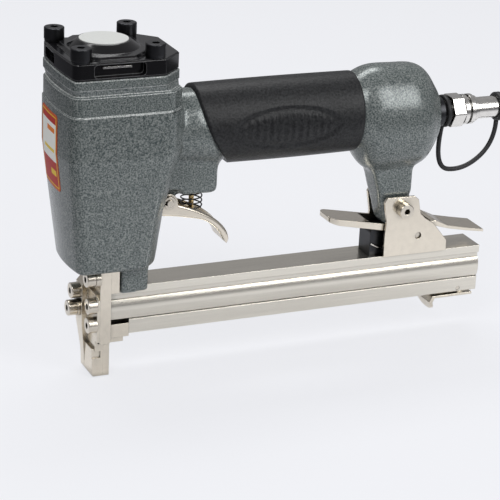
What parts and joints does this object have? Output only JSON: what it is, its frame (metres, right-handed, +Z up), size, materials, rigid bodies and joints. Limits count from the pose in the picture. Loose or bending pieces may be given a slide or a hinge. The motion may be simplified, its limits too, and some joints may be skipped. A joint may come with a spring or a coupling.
{
  "type": "pneumatic upholstery stapler",
  "caption": "Compressed-air stapler for fine wire staples, with a rear-loading rail magazine, a rubber grip and a finger trigger.",
  "frame": {"origin": "centre of the nose tip's bottom, where the staple leaves the tool", "axes": "+Z up along the driver's axis, +X back along the magazine to the air inlet, +Y to the tool's left as seen by its holder"},
  "size_m": [0.2294, 0.0434, 0.1512],
  "materials": {
    "casting": "hammered metallic paint",
    "cap_black": "gloss",
    "rubber": "matte",
    "nickel": "satin nickel plate",
    "bright_steel": "polished",
    "dark_steel": "blackened",
    "brass": "satin",
    "white_disc": "matte",
    "label": "printed film",
    "aluminium": "machined",
    "bumper_rubber": "matte"
  },
  "bodies": {
    "tool": {"body_casting": "casting", "cap": "cap_black", "cap_gasket": "dark_steel", "cap_screws": "dark_steel", "cap_washers": "dark_steel", "cap_disc": "white_disc", "exhaust_bars": "bright_steel", "front_label": "label", "grip_sleeve": "rubber", "cylinder_sleeve": "aluminium", "sleeve_orings": "bumper_rubber", "bumper": "bumper_rubber", "head_valve_spring": "bright_steel", "trigger_pin": "bright_steel", "trigger_clip": "bright_steel", "valve_housing": "brass", "valve_orings": "bumper_rubber", "valve_spring": "bright_steel", "trigger_spring": "dark_steel", "nose_block": "nickel", "nose_plate": "nickel", "nose_screws": "bright_steel", "nose_washers": "bright_steel", "magazine_rail": "nickel", "bracket_near": "nickel", "bracket_far": "nickel", "bracket_spacers": "nickel", "bracket_screw": "bright_steel", "bracket_nut": "bright_steel", "rail_anchor": "dark_steel", "lever_pin": "bright_steel", "lever_spring": "bright_steel", "inlet_bush": "dark_steel", "air_plug": "bright_steel", "cap_strap": "rubber"},
    "piston": {"piston": "aluminium", "piston_oring": "bumper_rubber", "driver_blade": "bright_steel", "blade_pin": "bright_steel"},
    "head_valve": {"head_valve": "aluminium", "head_valve_oring": "bumper_rubber"},
    "trigger": {"trigger": "nickel"},
    "valve_stem": {"valve_stem": "brass"},
    "magazine": {"slide_carrier": "nickel", "slide_nose": "nickel", "latch_pin": "bright_steel", "latch_leaf": "bright_steel", "pusher_rod": "bright_steel", "pusher_spring": "bright_steel"},
    "pusher": {"pusher": "bright_steel"},
    "latch": {"release_latch": "nickel"},
    "lock_lever": {"lock_lever": "nickel"},
    "dust_cap": {"dust_cap": "rubber"}
  },
  "joints": [
    {"name": "trigger_pull", "type": "hinge", "parent": "tool", "child": "trigger", "pos_m": [0.0306, 0, 0.0768], "axis": [0, -1, 0], "range_deg": [0, 10], "stiffness_Nm_per_rad": 0.5, "springref_deg": -5.73},
    {"name": "stem_slide", "type": "slide", "parent": "tool", "child": "valve_stem", "axis": [0, 0, 1], "range_m": [0, 0.0024], "deforming": ["trigger_spring", "valve_spring"]},
    {"name": "piston_drive", "type": "slide", "parent": "tool", "child": "piston", "axis": [0, 0, -1], "range_m": [0, 0.0358]},
    {"name": "head_valve_lift", "type": "slide", "parent": "tool", "child": "head_valve", "axis": [0, 0, 1], "range_m": [0, 0.003], "stiffness_N_per_m": 1500, "springref_m": -0.003, "deforming": ["head_valve_spring"]},
    {"name": "magazine_slide", "type": "slide", "parent": "tool", "child": "magazine", "axis": [1, 0, 0], "range_m": [0, 0.12]},
    {"name": "pusher_slide", "type": "slide", "parent": "magazine", "child": "pusher", "axis": [1, 0, 0], "range_m": [0, 0.11], "stiffness_N_per_m": 25, "springref_m": -0.06, "deforming": ["pusher_spring"]},
    {"name": "latch_press", "type": "hinge", "parent": "magazine", "child": "latch", "pos_m": [0.176, 0, 0.0202], "axis": [0, -1, 0], "range_deg": [0, 6], "stiffness_Nm_per_rad": 0.3, "springref_deg": -5.73},
    {"name": "lock_press", "type": "hinge", "parent": "tool", "child": "lock_lever", "pos_m": [0.1518, 0, 0.0496], "axis": [0, -1, 0], "range_deg": [0, 8], "stiffness_Nm_per_rad": 1, "springref_deg": -5.73},
    {"name": "dust_cap_pull", "type": "slide", "parent": "tool", "child": "dust_cap", "axis": [1, 0, 0], "range_m": [0, 0.03]}
  ],
  "couplings": [
    {"joint": "stem_slide", "follows": "trigger_pull", "m_per_rad": 0.0127}
  ]
}
